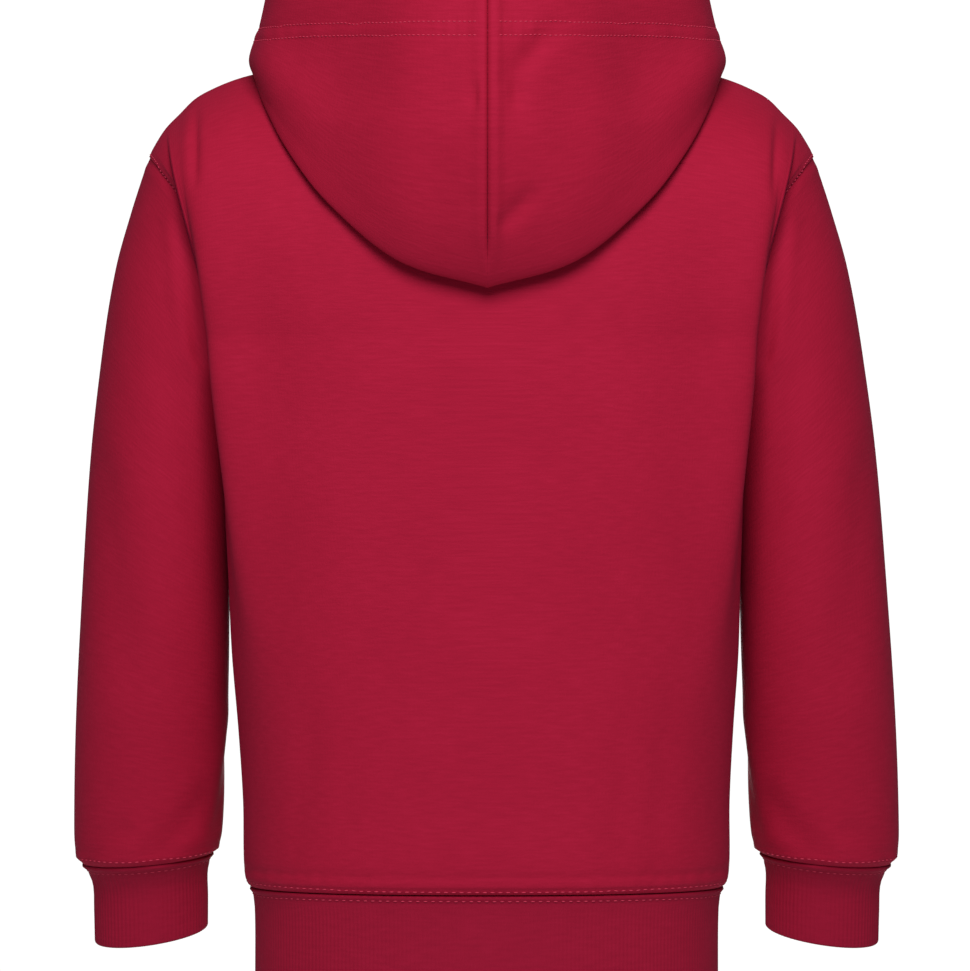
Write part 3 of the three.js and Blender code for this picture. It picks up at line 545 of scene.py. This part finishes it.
def sleeve(side):
    seam_run = SHOULDER_TIP - UNDERARM
    away = np.array([1.0, 0.0, -seam_run[0] / seam_run[2]])
    away /= np.linalg.norm(away)

    def place(u, v):
        off_seam = away * ARMHOLE_GAP * (1 - fade(v, 0, 0.03))[..., None]
        point = arm_ring(SLEEVE_SECTIONS, v, u, True) + off_seam
        point[..., 0] *= side
        return askew(point)

    bm, u, v = cloth_grid(112, 150, place, (SLEEVE_GIRTH, SLEEVE_LENGTH), v_stops=DENSE_ENDS)
    turn_out(bm, Vector((side * SLEEVE_MIDDLE[0],) + SLEEVE_MIDDLE[1:]))
    edge = 1 - fade(v, 0.0, 0.02)
    welt = 0.8 * bell((v - CUFF_WELT_AT) * SLEEVE_LENGTH, 2.4)
    body_side = bell(u - 0.5, 0.16)
    room = 1 - 0.8 * body_side * (1 - fade(v, 0.55, 0.75))
    free = fade(v, 0, 0.03) * (1 - fade(v, 0.985, 1)) * room
    press(bm, sleeve_creases(u, v) * free - 0.9 * edge + welt)
    bmesh.ops.remove_doubles(bm, verts=bm.verts[:], dist=0.00005)
    bm.normal_update()
    mark_open_edges(bm)
    return bm


sleeve_surface = {}
for side, hand in HANDS:
    cloth = sleeve(side)
    sleeve_surface[side] = BVHTree.FromBMesh(cloth)
    sew_in(make_piece("sleeve_cloth_" + hand, cloth, fleece), "sleeve_" + hand, FLEECE_THICK)

# Cuffs and hem band. Rib knit of cotton and elastane folded double, so that the open edge is
# a soft round fold, with upright ribs all round. Each is sewn to its sleeve or to the body,
# and drawn in narrower than it.
RIB_THICK = 2.8
RIB_DEPTH = 0.22
# How wide each band is cut before it is folded, in mm.
BAND_CUT = 96
CUFF_SECTIONS = table("at out_x out_z in_x in_z mid_y half_depth lean", [
    (0, 204.8, -404.4, 139.2, -398.9, -41.6, 29.8, 5),
    (0.25, 200.2, -414, 141.6, -408, -43, 23.6, 8),
    (0.6, 199.6, -428, 141.6, -421, -45.5, 22.2, 10),
    (1, 199.4, -445, 141.8, -437, -48.5, 22, 12),
])
RIB_DEEP, RIB_FACE, RIB_LIGHT = "#920f23", "#981126", "#9d132a"
RIB_WALE_MM, RIB_BUMP = 1.0, 0.2
rib_knit = knit_material("Rib knit, cotton and elastane", RIB_DEEP, RIB_FACE, RIB_LIGHT,
                         RIB_WALE_MM, RIB_BUMP)
# Rows of the band's grid, closer at its seam, as shares of its height.
BAND_DOWN = (0, 0.02, 0.045, 0.07, 0.1, 0.15, 0.22, 0.3, 0.4, 0.5, 0.6, 0.7, 0.8, 0.88)
BAND_UP = (0.85, 0.6, 0.35, 0.15, 0.0)
# Below the seam: the roll of the band, and the groove of its stitches.
BAND_ROW_MM = 3.7
BAND_RELIEF = [(0.9, 0.9, 1.1), (-0.4, BAND_ROW_MM, 0.9)]


def band_profile(height):
    """The way round a folded band: (along, inward) from its seam, down, round the fold, up and over."""
    radius = RIB_THICK / 2
    down = [(along, 0.0) for along in BAND_DOWN]
    foot = 1 - radius / height
    turn = [(foot + math.sin(t) * radius / height, radius - math.cos(t) * radius)
            for t in np.linspace(0, math.pi, 7)]
    up = [(along, RIB_THICK) for along in BAND_UP]
    return np.array(down + turn + up + [(0.0, radius), (0.0, 0.0)])


def ribbed_band(surface, ribs, per_rib, height, size):
    """A folded band of rib knit. Its ribs stand up out of both faces and run over the fold."""
    profile = band_profile(height)
    rows = len(profile) - 1

    def place(u, v):
        row = np.rint(v * rows).astype(int)
        along, inward = profile[row, 0], profile[row, 1]
        step = 0.001
        across = surface(u + step, along) - surface(u - step, along)
        down = surface(u, np.minimum(along + step, 1)) - surface(u, np.maximum(along - step, 0))
        normal = np.cross(across, down)
        normal /= np.linalg.norm(normal, axis=-1, keepdims=True)
        middle = surface(np.array([0.0, 0.5]), np.array([0.5, 0.5])).mean(axis=0)
        flip = np.sign(np.sum(normal * (surface(u, along) - middle), axis=-1))[..., None]
        starts = fade(along, 0.05, 0.2)
        ridge = (0.5 - 0.5 * np.cos(2 * math.pi * ribs * u)) * RIB_DEPTH * starts
        seam_roll = ridges(along * height, BAND_RELIEF)
        face = 1 - inward / (RIB_THICK / 2)
        depth = inward + (ridge - seam_roll) * face
        return askew(surface(u, along) - normal * flip * depth[..., None])

    bm, u, v = cloth_grid(ribs * per_rib, rows, place, size)
    bmesh.ops.remove_doubles(bm, verts=bm.verts[:], dist=0.00003)
    bmesh.ops.recalc_face_normals(bm, faces=bm.faces[:])
    bm.normal_update()
    return bm


CUFF_RIBS, CUFF_STEPS, CUFF_HEIGHT, CUFF_GIRTH = 80, 6, 41, 180
cuff_surface = {}
for side, hand in HANDS:
    def cuff_place(u, v):
        point = arm_ring(CUFF_SECTIONS, v, u, False)
        point[..., 0] *= side
        return point

    cloth = ribbed_band(cuff_place, CUFF_RIBS, CUFF_STEPS, CUFF_HEIGHT, (CUFF_GIRTH, BAND_CUT))
    cuff_surface[side] = BVHTree.FromBMesh(cloth)
    sew_in(make_piece("cuff_rib_" + hand, cloth, rib_knit), "cuff_" + hand, 0)

HEM_SECTIONS = table("at half_width half_depth", [(0, 117.6, 72.2), (0.22, 115.9, 70.4), (1, 115.6, 70)])
HEM_TOP_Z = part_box("hem_band")[1][2] / MM
HEM_FOOT_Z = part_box("hem_band")[0][2] / MM
HEM_RIBS, HEM_STEPS, HEM_GIRTH, HEM_CORNER = 300, 4, 610, 2.4
EVEN_ANGLES = np.linspace(0, 360, 1441)
ring_x, ring_y = rounded_section(116, 70.5, HEM_CORNER, EVEN_ANGLES)
ring_length = np.concatenate(([0], np.cumsum(np.hypot(np.diff(ring_x), np.diff(ring_y)))))


def hem_place(u, v):
    get = lambda column: read(HEM_SECTIONS, "at", column, v)
    angle = np.interp(u * ring_length[-1], ring_length, EVEN_ANGLES)
    x, y = rounded_section(get("half_width"), get("half_depth"), HEM_CORNER, angle)
    return points(x, y, mix(HEM_TOP_Z, HEM_FOOT_Z, v))


hem_cloth = ribbed_band(hem_place, HEM_RIBS, HEM_STEPS, HEM_TOP_Z - HEM_FOOT_Z, (HEM_GIRTH, BAND_CUT))
hem_surface = BVHTree.FromBMesh(hem_cloth)
sew_in(make_piece("hem_rib", hem_cloth, rib_knit), "hem_band", 0)

# Hood. Two halves of double fleece, sewn to each other along a centre seam and to the neckline.
# It lies down behind the neck as a deep pouch, and its edge is stitched in two rows.
# The rows give a fold under the pouch, its belly and its rim, by turn from side to centre, in mm.
HOOD_THICK = 3.0 * MM
PROFILE = "turn fold_x fold_y fold_z belly_x belly_y belly_z rim_x rim_y rim_z"
HOOD_BACK = table(PROFILE, [
    (0, 116, 4, -7, 119.9, 9, 0, 111, 12, 33),
    (0.2, 109, 39, -27, 113, 40, -6, 103.5, 36, 32),
    (0.4, 97, 61, -50, 98.5, 63, -16, 87, 59.5, 31),
    (0.6, 77, 75.3, -76, 75.5, 84, -33, 63.5, 83, 30),
    (0.8, 43, 85, -104, 42, 107.5, -44, 35, 105.5, 29),
    (1, 0, 86, -117, 0, 121, -47, 0, 118, 28),
])
HOOD_FRONT = table(PROFILE, [
    (0, 116, 4, -7, 119.9, 9, 0, 111, 12, 33),
    (0.25, 107, -30, -7, 112, -29, 2, 102, -24, 30),
    (0.5, 82, -57, -12, 84, -62, -3, 76, -54, 19),
    (0.75, 44, -68, -26, 44, -74, -16, 39, -69, 1),
    (1, 0, -64, -30, 0, -71, -22, 0, -73, -12),
])
# The crest: the top of the roll round the neck, over which the hood folds down.
CREST = {"half_width": 80, "y": -4, "back": 66, "front": 56, "height": 31}
CREST_RISE, CREST_DROP = 3, 62


def hood_knots(turn, way):
    """The points that a line of the hood's cloth goes through, from neck seam to rim."""
    rows = HOOD_BACK if way > 0 else HOOD_FRONT
    get = lambda name: points(*[read(rows, "turn", name + axis, turn) for axis in ("_x", "_y", "_z")])
    seam = neckline(turn, way)
    angle = math.pi / 2 * turn
    bend = np.sin(angle)
    height = CREST_RISE * bend if way > 0 else -CREST_DROP * bend**1.6
    full_crest = points(CREST["half_width"] * np.cos(angle),
                        CREST["y"] + way * (CREST["back"] if way > 0 else CREST["front"]) * bend,
                        CREST["height"] + height)
    fold, belly, rim = get("fold"), get("belly"), get("rim")
    full = np.ones_like(turn) if way > 0 else 1 - fade(turn, 0.2, 1)
    base = mix(seam, rim, 0.3)
    crest = base + (full_crest - base) * full[..., None]
    out = (crest - seam) * np.array([1, 1, 0])
    stand = mix(seam, crest, 0.5) - 0.08 * out
    over = mix(crest, fold, 0.12) + np.array([0, 0, 0.5])
    descent = mix(crest, fold, 0.45) + 0.15 * out
    under = mix(fold, belly, 0.33) + 0.24 * (belly - fold) * np.array([1, 1, 0])
    out_way = out / (np.linalg.norm(out, axis=-1, keepdims=True) + 1e-9)
    shoulder = mix(belly, rim, 0.5) + out_way * mix(-0.8, 1.5, turn)[..., None]
    return [seam, stand, crest, over, descent, fold, under, belly, shoulder, rim]


def curve_through(knots, at):
    """A point on a centripetal curve through the knots, at 0 to 1."""
    knots = np.stack(knots, axis=0)
    spans = knots.shape[0] - 1
    place = np.clip(at, 0, 1) * spans
    i = np.clip(np.floor(place).astype(int), 0, spans - 1)
    t = (place - i)[..., None]
    cols = np.arange(knots.shape[1])
    p1, p2 = knots[i, cols], knots[i + 1, cols]
    p0 = np.where((i > 0)[..., None], knots[np.maximum(i - 1, 0), cols], 2 * p1 - p2)
    p3 = np.where((i < spans - 1)[..., None], knots[np.minimum(i + 2, spans), cols], 2 * p2 - p1)
    gap = lambda a, b: np.maximum(np.linalg.norm(b - a, axis=-1, keepdims=True) ** 0.5, 1e-3)
    d0, d1, d2 = gap(p0, p1), gap(p1, p2), gap(p2, p3)
    m1 = ((p1 - p0) / d0 - (p2 - p0) / (d0 + d1) + (p2 - p1) / d1) * d1
    m2 = ((p2 - p1) / d1 - (p3 - p1) / (d1 + d2) + (p3 - p2) / d2) * d1
    return ((2 * t**3 - 3 * t**2 + 1) * p1 + (t**3 - 2 * t**2 + t) * m1
            + (3 * t**2 - 2 * t**3) * p2 + (t**3 - t**2) * m2)


# The back and the front of the hood blend over this share of its width on each side of u = 0.5.
SIDE_BLEND = 0.02
NECK_GAP = 0.4


def hood_line(u, v):
    turn = np.abs(u - 0.5) * 2
    back = curve_through(hood_knots(turn, 1), v)
    front = curve_through(hood_knots(turn, -1), v)
    return np.where((u >= 0.5)[..., None], back, front)


def hood_point(u, v):
    """u is 0 at the throat and 1 at the centre seam, v runs from the neck seam to the rim."""
    apart = SIDE_BLEND * bell(u - 0.5, 3 * SIDE_BLEND)
    point = (hood_line(u - apart, v) + hood_line(u + apart, v)) / 2
    point[..., 2] += NECK_GAP * (1 - fade(v, 0, 0.1))
    return point


# Creases of the hood as (x, z) to (x, z) seen from behind, how wide and how deep in mm.
HOOD_CREASES = [
    (-36, 10, -10, -18, 6, -2.6), (-14, -17, -14, -33, 4, -2.2), (6, -20, 7, -34, 4, -1.4),
    (-24, -70, -5, -91, 5, -2.2), (-38, 0, -42, -66, 13, -2.6), (-77, 22, -76, -36, 19, -4),
    (82, 22, 77, -36, 19, -4), (60, 26, 52, -40, 15, -1.6), (28, -40, 24, -88, 11, -1),
    (-98, 18, -92, -20, 12, -2), (100, 18, 95, -20, 12, -2),
]
# From the rim: the edge of its turned hem, the grooves of two rows of stitches, and the pucker.
RIM_ROWS_MM = (19.0, 25.6)
RIM_RELIEF = [(0.35, 22.4, 2.4), (-0.3, RIM_ROWS_MM[0], 0.9), (-0.3, RIM_ROWS_MM[1], 0.9)]
RIM_PUCKER, RIM_PUCKER_EVERY = [(0.16, 22.4, 5)], 6.1
# From the centre seam: the roll beside it, higher on the right half, and the groove in it.
SEAM_RELIEF = {-1: [(1.3, 4.2, 3.0), (-2.2, 0, 1.0)], 1: [(0.6, 4.2, 3.0), (-2.2, 0, 1.0)]}
# Half the gap between the two edges that meet at the throat, in mm.
THROAT_GAP = 1.0
HOOD_GRID, HOOD_SIZE = (124, 170), (330, 300)
BEHIND_POUCH = Vector((0, 0.2, -0.03))
DENSE_SEAM = ((0, 0), (0.72, 0.93), (0.87, 0.98), (1, 1))
DENSE_PAST_FOLD = ((0, 0), (0.62, 0.66), (1, 1))
# The pouch hangs a little to the wearer's right of the neck: mm across, at the neck and lower down.
NECK_SHIFT, POUCH_SHIFT = 1.7, -1.2
# Cells of the table that gives the distance to the rim, across a half and along it.
ACROSS, ALONG = 80, 240
across, up = np.meshgrid(np.linspace(0, 1, ACROSS + 1), np.linspace(0, 1, ALONG + 1), indexing="ij")
hood_lines = hood_point(across.ravel(), up.ravel()).reshape(ACROSS + 1, ALONG + 1, 3)
cells = np.linalg.norm(np.diff(hood_lines, axis=1), axis=-1)
TO_RIM = np.concatenate([np.cumsum(cells[:, ::-1], axis=1)[:, ::-1], np.zeros((ACROSS + 1, 1))], axis=1)


def rim_distance(u, v):
    """How far a point of the hood is from its rim, along the cloth, in mm."""
    i, j = np.clip(u * ACROSS, 0, ACROSS - 0.001), np.clip(v * ALONG, 0, ALONG - 0.001)
    a, b = i.astype(int), j.astype(int)
    near = mix(TO_RIM[a, b], TO_RIM[a, b + 1], j - b)
    return mix(near, mix(TO_RIM[a + 1, b], TO_RIM[a + 1, b + 1], j - b), i - a)


def hood_half(side):
    def place(u, v):
        point = hood_point(u, v)
        point[..., 0] = np.maximum(point[..., 0] + THROAT_GAP * (u <= 0), 0) * side
        return point

    bm, u, v = cloth_grid(*HOOD_GRID, place, HOOD_SIZE, DENSE_SEAM, DENSE_PAST_FOLD)
    bm.normal_update()
    pouch_back = min(bm.faces, key=lambda face: (face.calc_center_median() - BEHIND_POUCH).length)
    if pouch_back.normal.y < 0:
        bmesh.ops.reverse_faces(bm, faces=bm.faces[:])
        bm.normal_update()
    co = np.array([vert.co[:] for vert in bm.verts]) / MM
    outer = fade(v, 0.6, 0.68) * fade(u, 0.5, 0.6)
    from_seam = np.abs(co[:, 0])
    welt = ridges(from_seam, SEAM_RELIEF[side]) * outer
    from_rim = rim_distance(u, v)
    pucker = np.sin(2 * math.pi * co[:, 0] / RIM_PUCKER_EVERY + side) * ridges(from_rim, RIM_PUCKER)
    rim_edge = ridges(from_rim, RIM_RELIEF) + pucker * fade(from_seam, 4, 9)
    folds = creases(HOOD_CREASES, co[:, 0], co[:, 2]) * outer
    press(bm, (folds + rim_edge) * fade(from_seam, 2, 6) + welt)
    seam = np.abs(co[:, 0]) < 0.02
    for vert, on_seam in zip(bm.verts, seam):
        vert.co.x = 0 if on_seam else side * max(side * vert.co.x, 0.02 * MM)
    mark_open_edges(bm, 0)
    for vert, at in zip(bm.verts, v):
        vert.co.x += mix(NECK_SHIFT, POUCH_SHIFT, float(fade(at, 0.0, 0.4))) * MM
    return bm


hood_surface = {}
for side, hand in HANDS:
    cloth = hood_half(side)
    hood_surface[side] = BVHTree.FromBMesh(cloth)
    sew_in(make_piece("hood_cloth_" + hand, cloth, fleece), "hood_" + hand, HOOD_THICK)

# Sewing. Polyester thread, a little brighter than the cloth: twin-needle rows along the hem
# seam, the cuff seams and the hood's edge, and one row by each armhole.
# Each row has a pitch and a stitch length in mm, and its stitches lie on the cloth's own surface.
thread = bpy.data.materials.new("Polyester sewing thread")
thread.use_nodes = True
thread_shader = thread.node_tree.nodes["Principled BSDF"]
thread_shader.inputs["Base Color"].default_value = linear("#cf3f5c")
thread_shader.inputs["Roughness"].default_value = 0.8
thread_shader.inputs["Specular IOR Level"].default_value = 0.1
STITCH_RADIUS = 0.26
STITCH_LIFT = 0.1
STITCHES_AT_ONCE = 40
HEM_PITCH, CUFF_PITCH, ARMHOLE_PITCH, HOOD_PITCH = 3.75, 3.4, 2.8, 2.6
CUFF_ROW_ON_SLEEVE, CUFF_ROW_ON_RIB = 0.987, 0.085
ARMHOLE_ROW_MM = 3.4


def stitch_row(sewing, guide, surfaces, pitch, length):
    """Lays stitches on the cloth, evenly along a guide line of points in mm."""
    guide = np.asarray(guide) * MM
    run = np.concatenate(([0], np.cumsum(np.linalg.norm(np.diff(guide, axis=0), axis=1))))
    count = int(run[-1] / (pitch * MM))
    places = np.linspace(0, run[-1], count + 1)
    line = np.stack([np.interp(places, run, guide[:, k]) for k in range(3)], axis=1)
    on_cloth = []
    for place in line:
        hits = [surface.find_nearest(Vector(place)) for surface in surfaces]
        on_cloth.append(min(hits, key=lambda hit: hit[3]))
    stretch, laid = bmesh.new(), 0
    for here, following in zip(on_cloth, on_cloth[1:]):
        way = following[0] - here[0]
        if way.length < 0.2 * pitch * MM or way.length > 3 * pitch * MM:
            continue
        way.normalize()
        up = (here[1] + following[1]).normalized()
        across = up.cross(way).normalized()
        centre = (here[0] + following[0]) / 2 + up * STITCH_LIFT * MM
        basis = Matrix((way, across, way.cross(across))).transposed().to_4x4()
        size = Matrix.Diagonal((length / 2 * MM, STITCH_RADIUS * MM, STITCH_RADIUS * MM, 1))
        bmesh.ops.create_uvsphere(stretch, u_segments=6, v_segments=4, radius=1,
                                  matrix=Matrix.Translation(centre) @ basis @ size)
        laid += 1
        if laid % STITCHES_AT_ONCE == 0:
            sewing.append(stretch)
            stretch = bmesh.new()
    sewing.append(stretch)


def make_sewing(name, sewing):
    whole = bmesh.new()
    for stretch in sewing:
        part = bpy.data.meshes.new("stretch")
        stretch.to_mesh(part)
        whole.from_mesh(part)
        bpy.data.meshes.remove(part)
    make_piece(name, whole, thread)


def ring_at(height, half_width):
    x, y = rounded_section(half_width, 73, HEM_CORNER, EVEN_ANGLES)
    return askew(points(x, y, height))


hem_sewing = []
body_surfaces = (back_surface, front_surface)
stitch_row(hem_sewing, ring_at(HEM_SEAM_Z + SEAM_ROW_MM, 118.6), body_surfaces, HEM_PITCH, 2.5)
stitch_row(hem_sewing, ring_at(HEM_SEAM_Z - BAND_ROW_MM, 116.6), (hem_surface,), HEM_PITCH, 2.2)
make_sewing("hem_stitches", hem_sewing)

cuff_sewing = []
armhole_sewing = []
turns = np.linspace(0, 1, 200)
for side in (1, -1):
    for rows, along, surface in (
        (SLEEVE_SECTIONS, CUFF_ROW_ON_SLEEVE, sleeve_surface[side]),
        (CUFF_SECTIONS, CUFF_ROW_ON_RIB, cuff_surface[side]),
    ):
        ring = arm_ring(rows, np.full_like(turns, along), turns, False)
        ring[:, 0] *= side
        stitch_row(cuff_sewing, askew(ring), (surface,), CUFF_PITCH, 2.2)
    seam = armhole(turns)
    seam[:, 0] = (seam[:, 0] - ARMHOLE_ROW_MM) * side
    stitch_row(armhole_sewing, askew(seam), body_surfaces, ARMHOLE_PITCH, 1.9)
make_sewing("cuff_stitches", cuff_sewing)
make_sewing("armhole_stitches", armhole_sewing)

hood_sewing = []
for side in (1, -1):
    for distance in RIM_ROWS_MM:
        guide = np.array([[np.interp(-distance, -left, line[:, k]) for k in range(3)]
                          for line, left in zip(hood_lines[1:-1], TO_RIM[1:-1])])
        guide[:, 0] = guide[:, 0] * side + POUCH_SHIFT
        stitch_row(hood_sewing, guide, (hood_surface[side],), HOOD_PITCH, 1.9)
make_sewing("hood_stitches", hood_sewing)

# Plain pale floor, soft studio light and the camera, level and behind the garment. The key is a
# large soft box between camera and garment and above them, so that the cloth darkens where it
# turns away or down. A second one lights the front, and the surround fills in a little.
PIXEL = 0.5 * MM
PICTURE_WIDTH, PICTURE_MIDDLE, ORIGIN_ROW = 970, 485.5, 60
DISTANCE = 2.7
FOCUS_Z = -(PICTURE_MIDDLE - ORIGIN_ROW) * PIXEL
FLOOR_Z, FLOOR_HALF = -0.95, 3.5
FILL, SEEN_WHITE = 0.14, 1.05
paper = bpy.data.materials.new("Matt white studio paper")
paper.use_nodes = True
paper_shader = paper.node_tree.nodes["Principled BSDF"]
paper_shader.inputs["Base Color"].default_value = (0.9, 0.9, 0.9, 1)
paper_shader.inputs["Roughness"].default_value = 0.9
sheet = bmesh.new()
bmesh.ops.create_grid(sheet, x_segments=1, y_segments=1, size=FLOOR_HALF,
                      matrix=Matrix.Translation((0, 0, FLOOR_Z)))
floor_mesh = bpy.data.meshes.new("studio_floor")
sheet.to_mesh(floor_mesh)
floor_mesh.materials.append(paper)
floor = bpy.data.objects.new("studio_floor", floor_mesh)
bpy.context.scene.collection.objects.link(floor)

world = bpy.data.worlds.new("White studio")
world.use_nodes = True
air = world.node_tree.nodes["Background"]
air.inputs["Color"].default_value = (1, 1, 1, 1)
seen = add_node(world.node_tree, "ShaderNodeLightPath").outputs["Is Camera Ray"]
strength = add_node(world.node_tree, "ShaderNodeMapRange", {"To Min": FILL, "To Max": SEEN_WHITE},
                    {"Value": seen})
world.node_tree.links.new(strength.outputs["Result"], air.inputs["Strength"])
bpy.context.scene.world = world
bpy.context.scene.view_settings.view_transform = "Standard"


def soft_light(name, place, aim, size, power):
    data = bpy.data.lights.new(name, "AREA")
    data.size = size
    data.energy = power
    lamp = bpy.data.objects.new(name, data)
    lamp.location = place
    lamp.rotation_euler = (Vector(aim) - Vector(place)).to_track_quat("-Z", "Y").to_euler()
    bpy.context.scene.collection.objects.link(lamp)


soft_light("key", (-0.02, 1.45, 0.85), (0, 0, -0.13), 0.9, 29.7)
soft_light("front", (0, -3.2, -0.1), (0, 0, -0.2), 1.2, 62)

camera_data = bpy.data.cameras.new("Camera")
camera_data.sensor_fit = "HORIZONTAL"
camera_data.sensor_width = 36
camera_data.lens = camera_data.sensor_width * DISTANCE / (PICTURE_WIDTH * PIXEL)
camera = bpy.data.objects.new("Camera", camera_data)
camera.location = (0, DISTANCE, FOCUS_Z)
camera.rotation_euler = (math.radians(90), 0, math.radians(180))
bpy.context.scene.collection.objects.link(camera)
bpy.context.scene.camera = camera
